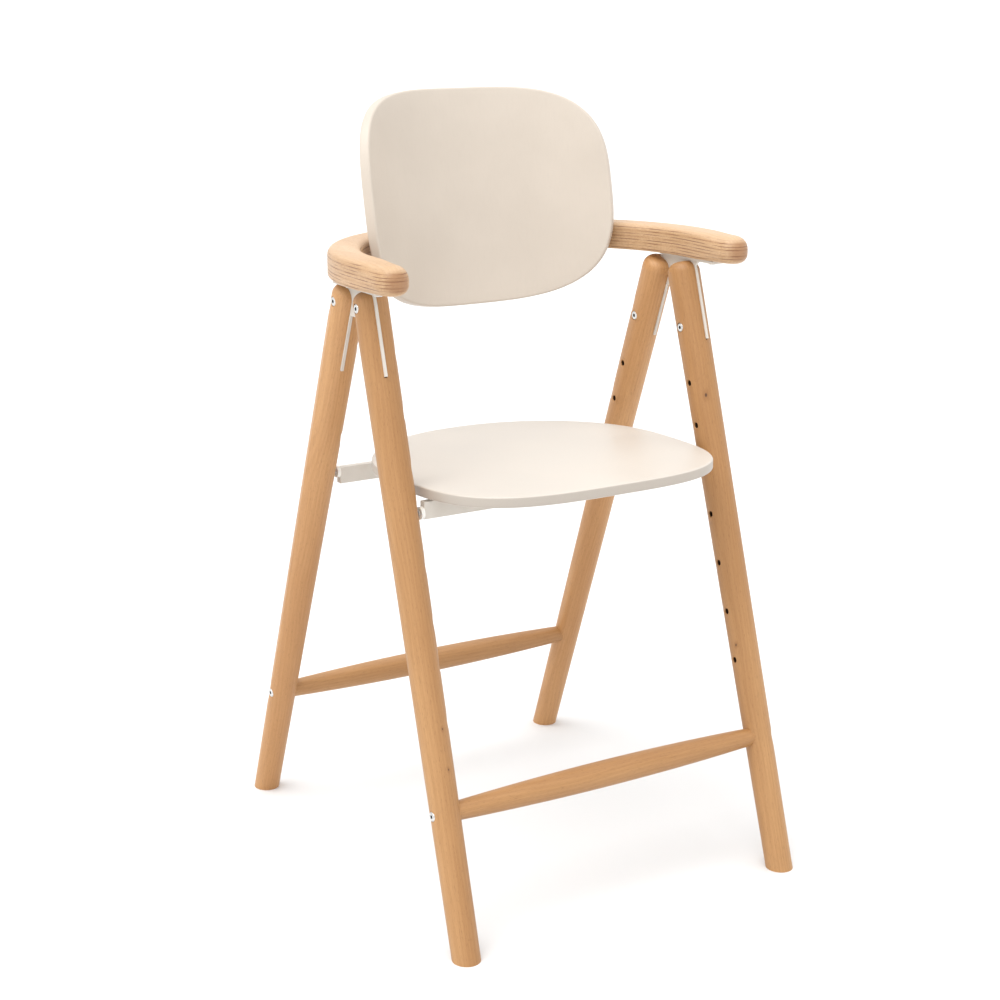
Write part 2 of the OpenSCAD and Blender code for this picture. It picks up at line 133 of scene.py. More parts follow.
def piece(name, verts, faces, material, body, nodes, flat_angle=38):
    """A closed mesh object that rides on a body and stands for CAD nodes."""
    mesh = bpy.data.meshes.new(name)
    mesh.from_pydata([tuple(v) for v in verts], [], faces)
    work = bmesh.new()
    work.from_mesh(mesh)
    bmesh.ops.remove_doubles(work, verts=work.verts, dist=1e-7)
    bmesh.ops.recalc_face_normals(work, faces=work.faces)
    limit = math.radians(flat_angle)
    for face in work.faces:
        face.smooth = True
    for edge in work.edges:
        if len(edge.link_faces) == 2 and edge.calc_face_angle() > limit:
            edge.smooth = False
    work.to_mesh(mesh)
    work.free()
    obj = bpy.data.objects.new(name, mesh)
    bpy.context.scene.collection.objects.link(obj)
    mesh.materials.append(material)
    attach(obj, body)
    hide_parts(*nodes)
    return obj


def centre_on(verts, node, axes=(0, 1, 2)):
    """Moves points so that their box has the same centre as a CAD node's, on the given axes."""
    node_lo, node_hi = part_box(node)
    move = Vector((0, 0, 0))
    for i in axes:
        lowest = min(v[i] for v in verts)
        highest = max(v[i] for v in verts)
        move[i] = (node_lo[i] + node_hi[i] - lowest - highest) / 2
    return [Vector(v) + move for v in verts]


def ring_strip(start_a, start_b, count):
    """Quads between two closed rings of the same length."""
    quads = []
    for i in range(count):
        j = (i + 1) % count
        quads.append((start_a + i, start_a + j, start_b + j, start_b + i))
    return quads


def ring_fan(start, count, centre):
    """Triangles between a closed ring and a point."""
    return [(start + i, start + (i + 1) % count, centre) for i in range(count)]


def quarter_turns(steps):
    """Angles from 0 to a right angle."""
    return [math.pi / 2 * i / steps for i in range(steps + 1)]


# ------------------------------------------------------------------ material helpers

def colour(red, green, blue):
    """Linear colour from display values of 0 to 255."""
    out = []
    for value in (red, green, blue):
        share = value / 255
        out.append(share / 12.92 if share <= 0.04045 else ((share + 0.055) / 1.055) ** 2.4)
    return (*out, 1)


class Graph:
    """A procedural material under construction. Values are numbers or sockets."""

    def __init__(self, name):
        self.material = bpy.data.materials.new(name)
        self.material.use_nodes = True
        self.tree = self.material.node_tree
        self.tree.nodes.clear()
        output = self.add("ShaderNodeOutputMaterial")
        self.shader = self.add("ShaderNodeBsdfPrincipled")
        self.tree.links.new(self.shader.outputs["BSDF"], output.inputs["Surface"])
        self.place = self.add("ShaderNodeTexCoord").outputs["Object"]

    def add(self, kind, **settings):
        node = self.tree.nodes.new(kind)
        for key, value in settings.items():
            setattr(node, key, value)
        return node

    def feed(self, socket, value):
        if isinstance(value, bpy.types.NodeSocket):
            self.tree.links.new(value, socket)
        else:
            socket.default_value = value

    def stretched(self, vector, factors, shift=(0, 0, 0)):
        node = self.add("ShaderNodeVectorMath", operation="MULTIPLY_ADD")
        self.feed(node.inputs[0], vector)
        node.inputs[1].default_value = factors
        node.inputs[2].default_value = shift
        return node.outputs[0]

    def rotated(self, vector, turn, origin=(0, 0, 0)):
        """Coordinates measured from origin and then turned."""
        node = self.add("ShaderNodeMapping", vector_type="POINT")
        from_origin = self.stretched(vector, (1, 1, 1), tuple(-v for v in origin))
        self.feed(node.inputs["Vector"], from_origin)
        node.inputs["Rotation"].default_value = turn
        return node.outputs["Vector"]

    def part(self, vector, axis):
        node = self.add("ShaderNodeSeparateXYZ")
        self.feed(node.inputs[0], vector)
        return node.outputs[axis]

    def distance(self, vector, point):
        node = self.add("ShaderNodeVectorMath", operation="DISTANCE")
        self.feed(node.inputs[0], vector)
        node.inputs[1].default_value = point
        return node.outputs["Value"]

    def radius(self, vector):
        """Distance from the Z axis."""
        return self.distance(self.stretched(vector, (1, 1, 0)), (0, 0, 0))

    def noise(self, vector, scale=1, detail=2, roughness=0.5):
        node = self.add("ShaderNodeTexNoise")
        self.feed(node.inputs["Vector"], vector)
        node.inputs["Scale"].default_value = scale
        node.inputs["Detail"].default_value = detail
        node.inputs["Roughness"].default_value = roughness
        return node.outputs["Fac"]

    def maths(self, operation, first, second=0, third=0):
        node = self.add("ShaderNodeMath", operation=operation)
        for socket, value in zip(node.inputs, (first, second, third)):
            self.feed(socket, value)
        return node.outputs[0]

    def times(self, first, second):
        return self.maths("MULTIPLY", first, second)

    def remap(self, value, low, high, to_low=0, to_high=1):
        """Smooth step from to_low, at low and under it, to to_high, at high and over it."""
        node = self.add("ShaderNodeMapRange", interpolation_type="SMOOTHSTEP")
        self.feed(node.inputs["Value"], value)
        node.inputs["From Min"].default_value = low
        node.inputs["From Max"].default_value = high
        node.inputs["To Min"].default_value = to_low
        node.inputs["To Max"].default_value = to_high
        return node.outputs["Result"]

    def mix(self, amount, first, second):
        node = self.add("ShaderNodeMix", data_type="RGBA")
        self.feed(node.inputs["Factor"], amount)
        self.feed(node.inputs[6], first)
        self.feed(node.inputs[7], second)
        return node.outputs[2]

    def bump(self, height, strength, distance):
        node = self.add("ShaderNodeBump")
        node.inputs["Strength"].default_value = strength
        node.inputs["Distance"].default_value = distance
        self.feed(node.inputs["Height"], height)
        return node.outputs["Normal"]

    def facing(self, axis):
        """One part of the surface's normal."""
        return self.part(self.add("ShaderNodeNewGeometry").outputs["Normal"], axis)

    def finish(self, base, roughness, normal=None, **fixed):
        """Feeds the shader; fixed sets its other sockets, with _ for a space in a name."""
        self.feed(self.shader.inputs["Base Color"], base)
        self.feed(self.shader.inputs["Roughness"], roughness)
        if normal is not None:
            self.feed(self.shader.inputs["Normal"], normal)
        for key, value in fixed.items():
            self.shader.inputs[key.replace("_", " ")].default_value = value
        return self.material


# ------------------------------------------------------------------ wood

Palette = namedtuple("Palette", "light middle dark fleck")

SOLID_BEECH = Palette(colour(186, 141, 92), colour(168, 122, 74),
                      colour(137, 91, 49), colour(100, 62, 33))
# A lighter copy of solid beech for the rear legs: painted light that makes up for the shade on their
# front faces, which tilt a little downward
PAINTED_LIGHT_BEECH = Palette(colour(200, 152, 101), colour(182, 133, 83),
                     colour(149, 101, 55), colour(104, 66, 36))
VENEER_BEECH = Palette(colour(210, 178, 144), colour(198, 164, 127),
                       colour(168, 126, 84), colour(140, 98, 62))
KNOT_BROWN = colour(70, 40, 22)
# Dark brown painted into a leg's bores and kerf as shade
BORE_SHADE_BROWN = colour(38, 22, 12)
PLY_SIDE_BROWN = colour(176, 134, 86)
PLY_END_BROWN = colour(150, 104, 66)
GLUE_BROWN = colour(112, 68, 38)

# Distance between two year rings, how far they wander, and how strongly each kind of mark shows
RING_PITCH = 4.2 * MM
RING_WARP = 50 * MM
RING_TINT = 0.13
FIBRE_TINT = 0.26
FLECK_TINT = 0.26

# Painted shade: a leg's bores and kerf turn dark between these depths, but not near its domed top or
# its foot
BORE_DEPTHS = (0.9 * MM, 1.8 * MM)
BORE_DARKNESS = 0.94
DOME_CLEAR = (30 * MM, 16 * MM)
FOOT_CLEAR = (4 * MM, 12 * MM)

# Heights are squashed by this before a knot is drawn, so that it is taller than it is wide
KNOT_SQUASH = 0.55

# How far the plies wander, and how their stains and pores are stretched
PLY_WAVE = 1.2 * MM
PLY_MARK_STRETCH = (34, 34, 300)
PLY_PORE_STRETCH = (420, 420, 900)


def beech_base(g, grain, seed, palette):
    """Beech colour, relief and fibre from coordinates whose Z runs along the grain."""
    drift = g.noise(g.stretched(grain, (22, 22, 1.8), (seed, seed, seed)), detail=3, roughness=0.55)
    warp = g.noise(g.stretched(grain, (9, 9, 2.2), (-seed, seed, 0)), detail=2)
    across = g.maths("MULTIPLY_ADD", warp, RING_WARP, g.part(grain, 0))
    rings = g.remap(g.maths("SINE", g.times(across, 2 * math.pi / RING_PITCH)), -1, 1)
    fibre = g.noise(g.stretched(grain, (1100, 1100, 26)), detail=3, roughness=0.6)
    flecks = g.noise(g.stretched(grain, (1500, 1500, 190), (seed, 0, 0)), detail=1)
    flecks = g.remap(flecks, 0.60, 0.72)
    tone = g.mix(g.remap(drift, 0.30, 0.70), palette.middle, palette.light)
    tone = g.mix(g.times(rings, RING_TINT), tone, palette.dark)
    tone = g.mix(g.remap(fibre, 0.35, 0.75, 0, FIBRE_TINT), tone, palette.dark)
    tone = g.mix(g.times(flecks, FLECK_TINT), tone, palette.fleck)
    relief = g.maths("SUBTRACT", fibre, g.times(flecks, 0.6))
    return tone, relief, fibre


def oiled(g, tone, relief, fibre):
    """Finishes solid beech with a thin coat of oil."""
    rough = g.remap(fibre, 0.2, 0.8, 0.42, 0.56)
    normal = g.bump(relief, 0.22, 0.6 * MM)
    return g.finish(tone, rough, normal, Coat_Weight=0.08, Coat_Roughness=0.35)


def stretcher_beech(node, seed):
    """Oiled beech with its grain across the chair."""
    g = Graph(node + "_beech")
    grain = g.rotated(g.place, (0, math.radians(90), 0))
    return oiled(g, *beech_base(g, grain, seed, SOLID_BEECH))


def with_knot(g, tone, point, size):
    """Wood colour with a dark mark, and a soft shade round it, at a point on the surface."""
    away = g.distance(g.stretched(g.place, (1, 1, KNOT_SQUASH)),
                      (point[0], point[1], point[2] * KNOT_SQUASH))
    tone = g.mix(g.remap(away, size * 0.9, size * 3.2, 0.45, 0), tone, SOLID_BEECH.dark)
    return g.mix(g.remap(away, size * 0.35, size, 0.9, 0), tone, KNOT_BROWN)


def bore_shade_share(g, along, top):
    """Share of painted shade: 1 deep inside a leg, in its bores and kerf, and 0 on its surface. along
    is the leg's frame.
    """
    up = g.part(along, 2)
    surface = g.maths("MULTIPLY_ADD", up, LEG_TAPER, LEG_FOOT_R)
    depth = g.maths("SUBTRACT", surface, g.radius(along))
    below_dome = g.remap(up, top - DOME_CLEAR[0], top - DOME_CLEAR[1], 1, 0)
    between_ends = g.times(below_dome, g.remap(up, *FOOT_CLEAR))
    return g.times(g.remap(depth, *BORE_DEPTHS), between_ends)


def leg_beech(node, side, rake, seed, palette, knots=()):
    """Oiled beech for one leg, with painted shade in its bores and kerf. knots are (point, size)
    pairs.
    """
    g = Graph(node + "_beech")
    foot_y = math.copysign(FOOT_Y, -rake)
    tilt = math.atan(rake)
    lean = math.atan(side * math.tan(FRAME_LEAN) * math.cos(tilt))
    along = g.rotated(g.place, (tilt, lean, 0), (side * FOOT_X, foot_y, 0))
    tone, relief, fibre = beech_base(g, along, seed, palette)
    for point, size in knots:
        tone = with_knot(g, tone, point, size)
    bore_shade = bore_shade_share(g, along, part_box(node)[1].z)
    # Painted shade: the bores and kerf are mixed towards dark brown
    tone = g.mix(g.times(bore_shade, BORE_DARKNESS), tone, BORE_SHADE_BROWN)
    return oiled(g, tone, relief, fibre)


def plies_up(g):
    """Height in the armrest's stack, counted in plies that are not quite flat."""
    lo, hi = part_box("armrest")
    ply = (hi.z - lo.z) / ARM_PLIES
    wave = g.noise(g.stretched(g.place, (9, 9, 0)), detail=1)
    level = g.maths("ADD", g.part(g.place, 2), g.times(wave, PLY_WAVE))
    return g.maths("DIVIDE", g.maths("SUBTRACT", level, lo.z), ply)


def laminated_beech():
    """Plywood beech: plies are layers in height, seen on every upright face."""
    g = Graph("laminated_beech")
    grain = g.rotated(g.place, (math.radians(90), 0, 0))
    tone, relief, fibre = beech_base(g, grain, 3.7, VENEER_BEECH)
    plies = plies_up(g)
    within = g.maths("FRACT", plies)
    from_seam = g.maths("MINIMUM", within, g.maths("SUBTRACT", 1, within))
    every_other = g.remap(g.maths("PINGPONG", plies, 1), 0.35, 0.65)
    upright = g.remap(g.maths("ABSOLUTE", g.facing(2)), 0.45, 0.88, 1, 0)
    tip = g.remap(g.times(g.facing(1), -1), 0.45, 0.95)
    patch = g.remap(g.noise(g.stretched(g.place, PLY_MARK_STRETCH), detail=4), 0.38, 0.60, 0.10, 1)
    glue = g.times(g.remap(from_seam, 0.06, 0.20, 1, 0), g.times(patch, upright))
    pores = g.remap(g.noise(g.stretched(g.place, PLY_PORE_STRETCH), detail=3), 0.45, 0.7)
    tone = g.mix(g.times(upright, 0.26), tone, PLY_SIDE_BROWN)
    tone = g.mix(g.times(g.times(every_other, upright), 0.24), tone, VENEER_BEECH.dark)
    tone = g.mix(g.times(g.times(upright, pores), 0.30), tone, VENEER_BEECH.fleck)
    tone = g.mix(g.times(g.times(upright, tip), 0.72), tone, PLY_END_BROWN)
    tone = g.mix(g.times(glue, 0.80), tone, GLUE_BROWN)
    relief = g.maths("SUBTRACT", relief, g.times(glue, 1.6))
    rough = g.remap(fibre, 0.2, 0.8, 0.40, 0.54)
    normal = g.bump(relief, 0.30, 0.6 * MM)
    return g.finish(tone, rough, normal, Coat_Weight=0.10, Coat_Roughness=0.30)


# ------------------------------------------------------------------ lacquer, steel and plastic

# Grey painted on a board's upright rim as shade
RIM_SHADE_GREY = colour(164, 154, 143)
CLOUD_SHADE = 5
GRAIN_SHADE = 18


def cream_lacquer(name, light, rim_painted_shade=0):
    """Satin lacquer over veneer, whose grain shows faintly. Its last argument greys the upright rim as
    painted shade.
    """
    g = Graph(name)
    cloud = g.noise(g.place, 9, detail=3)
    veneer = g.noise(g.stretched(g.place, (420, 420, 16)), detail=3, roughness=0.6)
    peel = g.noise(g.place, 900, detail=2)
    deep = colour(*(value - CLOUD_SHADE for value in light))
    grainy = colour(*(value - GRAIN_SHADE for value in light))
    base = g.mix(g.remap(cloud, 0.3, 0.7), deep, colour(*light))
    base = g.mix(g.remap(veneer, 0.45, 0.75, 0, 0.10), base, grainy)
    # Painted shade: upright faces are greyed by the amount given for the rim
    rim = g.remap(g.maths("ABSOLUTE", g.facing(2)), 0.35, 0.8, rim_painted_shade, 0)
    base = g.mix(rim, base, RIM_SHADE_GREY)
    relief = g.maths("ADD", g.times(veneer, 0.7), peel)
    rough = g.remap(cloud, 0.3, 0.7, 0.40, 0.50)
    normal = g.bump(relief, 0.10, 0.4 * MM)
    return g.finish(base, rough, normal, Coat_Weight=0.12, Coat_Roughness=0.30)


def cream_steel():
    """Powder coat with its fine orange peel."""
    g = Graph("cream_steel")
    peel = g.noise(g.place, 1400, detail=2)
    cloud = g.noise(g.place, 30, detail=2)
    base = g.mix(g.remap(cloud, 0.3, 0.7), colour(202, 195, 185), colour(209, 203, 194))
    rough = g.remap(peel, 0.3, 0.7, 0.42, 0.54)
    return g.finish(base, rough, g.bump(peel, 0.22, 0.3 * MM))


def nylon():
    """Slightly translucent moulded plastic."""
    g = Graph("nylon")
    grainy = g.noise(g.place, 2200, detail=2)
    flow = g.noise(g.place, 160, detail=2)
    base = g.mix(g.remap(flow, 0.3, 0.7), colour(236, 232, 224), colour(246, 243, 237))
    rough = g.remap(grainy, 0.3, 0.7, 0.38, 0.52)
    return g.finish(base, rough, g.bump(grainy, 0.12, 0.2 * MM), Subsurface_Weight=0.08)


def screw_steel():
    """Bright zinc plate, with turning marks and a little tarnish."""
    g = Graph("screw_steel")
    marks = g.noise(g.stretched(g.place, (300, 4200, 4200)), detail=2)
    tarnish = g.noise(g.place, 420, detail=3)
    base = g.mix(g.remap(tarnish, 0.35, 0.7), colour(226, 226, 224), colour(196, 195, 192))
    rough = g.remap(marks, 0.3, 0.7, 0.24, 0.40)
    return g.finish(base, rough, g.bump(marks, 0.15, 0.2 * MM), Metallic=1)


def socket_shade_steel():
    """Painted shade inside a screw's socket: dull, dark steel with uneven patches."""
    g = Graph("socket_shade_steel")
    shade_mottle = g.noise(g.place, 1800, detail=2)
    base = g.mix(g.remap(shade_mottle, 0.3, 0.7), colour(46, 43, 40), colour(84, 80, 76))
    return g.finish(base, g.remap(shade_mottle, 0.3, 0.7, 0.6, 0.8))


# ------------------------------------------------------------------ armrest

def armrest_path(tip_y, straight_y, back_y):
    """Centre-line points and outward normals, from the right tip round to the left one."""
    bend_x = ARM_HALF_W - ARM_BEND_R
    right = []
    for i in range(ARM_STRAIGHT_STEPS):
        y = tip_y + (straight_y - tip_y) * i / ARM_STRAIGHT_STEPS
        right.append((Vector((ARM_HALF_W, y)), Vector((1, 0))))
    for turn in quarter_turns(ARM_BEND_STEPS):
        out = Vector((math.cos(turn), math.sin(turn)))
        right.append((Vector((bend_x, straight_y)) + out * ARM_BEND_R, out))
    left = [(Vector((-point.x, point.y)), Vector((-out.x, out.y))) for point, out in reversed(right)]
    return right + [(Vector((0, back_y)), Vector((0, 1)))] + left


def armrest_tip(centre, half_width):
    """Half-ellipse stations round an arm's tip, from its left side to its right."""
    stations = []
    for i in range(1, ARM_TIP_STEPS):
        turn = math.pi * i / ARM_TIP_STEPS
        across, along = -math.cos(turn), -math.sin(turn)
        point = centre + Vector((half_width * across, ARM_TIP_LENGTH * along))
        out = Vector((across / half_width, along / ARM_TIP_LENGTH)).normalized()
        stations.append((point, out, 1))
    return stations


def armrest_loop(path, half_width):
    """The outline as (point, outward, nearness to a tip), by outer side, left tip, inner side
    and right tip."""
    def nearness(y):
        reach = min(max((y - path[0][0].y) / ARM_TIP_BLEND, 0), 1)
        return 1 - reach * reach * (3 - 2 * reach)

    outer = []
    inner = []
    for point, out in path:
        outer.append((point + out * half_width, out, nearness(point.y)))
        inner.append((point - out * half_width, -out, nearness(point.y)))
    left_tip = armrest_tip(path[-1][0], half_width)
    right_tip = armrest_tip(path[0][0], half_width)
    return outer + left_tip + inner[::-1] + right_tip


def armrest_rows():
    """The section's edges from the underside up, as (below or above, turn, edge radius along
    the arm, edge radius at a tip)."""
    quarter = quarter_turns(ARM_EDGE_STEPS)
    low = [(-1, turn, ARM_LOW_EDGE, ARM_TIP_LOW_EDGE) for turn in reversed(quarter)]
    return low + [(1, turn, ARM_EDGE, ARM_TIP_EDGE) for turn in quarter]


def armrest_ring(loop, row, middle_z, half_height):
    """One closed ring of points round the armrest."""
    side, turn, arm_edge, tip_edge = row
    ring = []
    for outline_point, outward, nearness in loop:
        edge = arm_edge + (tip_edge - arm_edge) * nearness
        point = outline_point - outward * (edge * (1 - math.cos(turn)))
        height = half_height - edge * (1 - math.sin(turn))
        ring.append(Vector((point.x, point.y, middle_z + side * height)))
    return ring


def armrest_face(base, spine, count, ring):
    """Faces between the ring that starts at base and the count points of the centre line,
    which start at spine."""
    tip = (ring - 2 * count) // 2
    inner_end = base + 2 * count + tip - 1
    faces = []
    for i in range(count - 1):
        faces.append((base + i, base + i + 1, spine + i + 1, spine + i))
        faces.append((spine + i, spine + i + 1, inner_end - i - 1, inner_end - i))
    left_fan = list(range(base + count - 1, base + count + tip + 1))
    right_fan = list(range(inner_end, base + ring)) + [base]
    for fan, centre in ((left_fan, spine + count - 1), (right_fan, spine)):
        faces += [(a, b, centre) for a, b in zip(fan, fan[1:])]
    return faces


def make_armrest(material):
    lo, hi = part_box("armrest")
    half_width = hi.x - ARM_HALF_W
    half_height = (hi.z - lo.z) / 2
    middle_z = (hi.z + lo.z) / 2
    back_y = hi.y - half_width
    path = armrest_path(lo.y + ARM_TIP_LENGTH, back_y - ARM_BEND_R, back_y)
    loop = armrest_loop(path, half_width)
    rows = armrest_rows()
    ring = len(loop)
    verts = []
    for row in rows:
        verts += armrest_ring(loop, row, middle_z, half_height)
    faces = []
    for k in range(len(rows) - 1):
        faces += ring_strip(k * ring, (k + 1) * ring, ring)
    underside = (0, middle_z - half_height)
    top = ((len(rows) - 1) * ring, middle_z + half_height)
    for base, height in (underside, top):
        faces += armrest_face(base, len(verts), len(path), ring)
        verts += [Vector((point.x, point.y, height)) for point, out in path]
    piece("armrest_hoop", verts, faces, material, "frame", ["armrest"])


# ------------------------------------------------------------------ boards

def superellipse(turn, half_x, half_y, far_power, near_power):
    """A point of a superellipse with one power where y is positive and another where it isn't."""
    cosine = math.cos(turn)
    sine = math.sin(turn)
    power = far_power if sine >= 0 else near_power
    return (math.copysign(half_x * abs(cosine) ** (2 / power), cosine),
            math.copysign(half_y * abs(sine) ** (2 / power), sine))


def slab_rows(thickness, edge):
    """(inset, height) pairs round a rounded edge, from the underside to the top."""
    upper = []
    for turn in quarter_turns(BOARD_EDGE_STEPS):
        upper.append((edge * (1 - math.cos(turn)), thickness - edge * (1 - math.sin(turn))))
    lower = [(inset, thickness - height) for inset, height in reversed(upper)]
    return lower + upper


def slab(outline, rows, shape):
    """Closed rounded board. outline(turn, inset) gives plan points, shape(x, y, h) places them."""
    verts = []
    faces = []

    def ring(scale, inset, height):
        start = len(verts)
        for i in range(BOARD_SIDES):
            x, y = outline(2 * math.pi * i / BOARD_SIDES, inset)
            verts.append(shape(x * scale, y * scale, height))
        return start

    scales = [(i + 1) / (BOARD_FACE_RINGS + 1) for i in range(BOARD_FACE_RINGS)]
    starts = [ring(scale, *rows[0]) for scale in scales]
    starts += [ring(1, *row) for row in rows]
    starts += [ring(scale, *rows[-1]) for scale in reversed(scales)]
    for a, b in zip(starts, starts[1:]):
        faces += ring_strip(a, b, BOARD_SIDES)
    for start, height in ((starts[0], rows[0][1]), (starts[-1], rows[-1][1])):
        faces += ring_fan(start, BOARD_SIDES, len(verts))
        verts.append(shape(0, 0, height))
    return verts, faces


def make_seat(material):
    lo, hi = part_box("seat_board")
    half_x = (hi.x - lo.x) / 2
    half_y = (hi.y - lo.y) / 2 / math.cos(SEAT_LEAN)
    tilt = Matrix.Rotation(-SEAT_LEAN, 3, "X")

    def outline(turn, inset):
        return superellipse(turn, half_x - inset, half_y - inset, SEAT_REAR_POWER, SEAT_FRONT_POWER)

    def shape(x, y, height):
        return tilt @ Vector((x, y, height))

    verts, faces = slab(outline, slab_rows(SEAT_T, SEAT_EDGE), shape)
    piece("seat_panel", centre_on(verts, "seat_board"), faces, material, "seat",
          ["seat_board"])


def make_backrest(material):
    lean = Matrix.Rotation(-BACK_LEAN, 3, "X")

    def outline(turn, inset):
        return superellipse(turn, BACK_HALF_ARC - inset, BACK_HALF_H - inset,
                            BACK_TOP_POWER, BACK_LOW_POWER)

    def shape(arc, up, depth):
        turn = arc / BACK_R
        radius = BACK_R - depth
        return lean @ Vector((radius * math.sin(turn), radius * math.cos(turn) - BACK_R, up))

    verts, faces = slab(outline, slab_rows(BACK_T, BACK_EDGE), shape)
    verts = centre_on(verts, "backrest", axes=(0, 2))
    move = Vector((0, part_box("backrest")[1].y - max(v.y for v in verts), 0))
    piece("backrest_shell", [v + move for v in verts], faces, material, "frame",
          ["backrest"])


# ------------------------------------------------------------------ screws

# The upright share of a head's height, its lower chamfer, the taper of a shank's end, the flat
# round the socket, the chamfer at its mouth and the cone at its bottom
HEAD_SIDE_H = 0.35 * HEAD_H
HEAD_CHAMFER = (0.2 * MM, 0.25 * MM)
SHANK_END = (0.6, 0.4)
SOCKET_FLAT_R = 1.28 * SOCKET_R
SOCKET_CHAMFER = 0.15 * MM
SOCKET_CONE = 0.5 * MM


def screw_profile(shank_r, length):
    """(radius, height) pairs from the shank's end, over the head and in to its flat top."""
    dome_h = HEAD_H - HEAD_SIDE_H
    profile = [(shank_r * SHANK_END[0], -length), (shank_r, -length + shank_r * SHANK_END[1])]
    profile += [(shank_r, 0), (HEAD_R - HEAD_CHAMFER[0], 0)]
    profile += [(HEAD_R, HEAD_CHAMFER[1]), (HEAD_R, HEAD_SIDE_H)]
    for turn in quarter_turns(SCREW_DOME_STEPS)[1:-1]:
        radius = HEAD_R - dome_h * (1 - math.cos(turn))
        profile.append((radius, HEAD_SIDE_H + dome_h * math.sin(turn)))
    return profile + [(SOCKET_FLAT_R, HEAD_H)]


def round_turns():
    """The turns of a screw's points about its axis."""
    return [2 * math.pi * i / SCREW_SIDES for i in range(SCREW_SIDES)]


def turned_ring(radii, height):
    """Points round Z, one at each radius."""
    return [Vector((radius * math.cos(turn), radius * math.sin(turn), height))
            for radius, turn in zip(radii, round_turns())]


def hexagon_radii():
    """Distances from a socket's axis to its hexagonal wall."""
    corner = math.pi / 3
    wall_r = SOCKET_R * math.cos(corner / 2)
    return [wall_r / math.cos(turn % corner - corner / 2) for turn in round_turns()]


def screw_solid(shank_r, length):
    """Button-head socket screw along +Z: the head's underside is at 0, the shank runs down.
    Returns its points, its outside faces and the faces of its socket."""
    profile = screw_profile(shank_r, length)
    verts = []
    for radius, height in profile:
        verts += turned_ring([radius] * SCREW_SIDES, height)
    rim = len(verts) - SCREW_SIDES
    lip = rim + SCREW_SIDES
    floor = lip + SCREW_SIDES
    end = floor + SCREW_SIDES
    pit = end + 1
    floor_height = HEAD_H - SOCKET_DEPTH
    verts += turned_ring(hexagon_radii(), HEAD_H - SOCKET_CHAMFER)
    verts += turned_ring(hexagon_radii(), floor_height)
    verts += [Vector((0, 0, -length)), Vector((0, 0, floor_height - SOCKET_CONE))]
    outside = []
    for k in range(len(profile) - 1):
        outside += ring_strip(k * SCREW_SIDES, (k + 1) * SCREW_SIDES, SCREW_SIDES)
    outside += ring_strip(rim, lip, SCREW_SIDES)
    outside += ring_fan(0, SCREW_SIDES, end)
    socket = ring_strip(lip, floor, SCREW_SIDES) + ring_fan(floor, SCREW_SIDES, pit)
    return verts, outside, socket


def mirrored(places):
    """The places and their mirror images across the chair."""
    out = []
    for point, direction in places:
        out.append((point, direction))
        out.append(((-point[0], point[1], point[2]), (-direction[0], direction[1], direction[2])))
    return out


def make_screws(name, node, places, shank_r, length, metals):
    """One object of several screws. places are the right-hand screws, each a pair: the middle of
    the head's underside and the head's direction. metals are the screw's and its socket's painted
    shade."""
    solid_verts, outside, socket = screw_solid(shank_r, length)
    solid_faces = outside + socket
    verts = []
    faces = []
    for point, direction in mirrored(places):
        turn = Vector(direction).to_track_quat("Z", "Y").to_matrix()
        start = len(verts)
        verts += [turn @ v + Vector(point) for v in solid_verts]
        faces += [tuple(start + i for i in face) for face in solid_faces]
    screws = piece(name, verts, faces, metals[0], "frame", [node], flat_angle=50)
    screws.data.materials.append(metals[1])
    # The socket's faces take the second material, which is painted shade
    for face in screws.data.polygons:
        face.material_index = int(face.index % len(solid_faces) >= len(outside))


def front_and_rear(node, drop, direction):
    """Places of a node's two right-hand screws, with the heads' undersides drop inside its box."""
    lo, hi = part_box(node)
    height = (lo.z + hi.z) / 2
    return [((hi.x - drop, y, height), direction) for y in (lo.y + HEAD_R, hi.y - HEAD_R)]


def make_all_screws(metals):
    places = front_and_rear("stretcher_screws", HEAD_H, (1, 0, 0))
    make_screws("stretcher_bolts", "stretcher_screws", places, M6_R, STRETCHER_SCREW_LEN, metals)

    outward = (math.cos(FRAME_LEAN), 0, math.sin(FRAME_LEAN))
    places = front_and_rear("bracket_screws_outer", HEAD_H, outward)
    make_screws("bracket_bolts_outer", "bracket_screws_outer", places, M5_R, BRACKET_SCREW_LEN, metals)

    inward = tuple(-v for v in outward)
    places = front_and_rear("bracket_screws_inner", BRACKET_SCREW_LEN, inward)
    make_screws("bracket_bolts_inner", "bracket_screws_inner", places, M5_R, BRACKET_SCREW_LEN, metals)

    lo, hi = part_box("backrest_screws")
    underside_y = hi.y - HEAD_H
    places = [((hi.x - HEAD_R, underside_y, (lo.z + hi.z) / 2), (0, 1, 0))]
    make_screws("backrest_bolts", "backrest_screws", places, M6_R, underside_y - lo.y, metals)


# ------------------------------------------------------------------ stage

def make_floor():
    mesh = bpy.data.meshes.new("floor")
    work = bmesh.new()
    bmesh.ops.create_grid(work, x_segments=4, y_segments=4, size=FLOOR_HALF_SIZE)
    work.to_mesh(mesh)
    work.free()
    floor = bpy.data.objects.new("floor", mesh)
    bpy.context.scene.collection.objects.link(floor)
    g = Graph("floor_paper")
    mottle = g.noise(g.place, 3, detail=2)
    mesh.materials.append(g.finish(g.mix(mottle, FLOOR_DARK, FLOOR_LIGHT), 0.9))


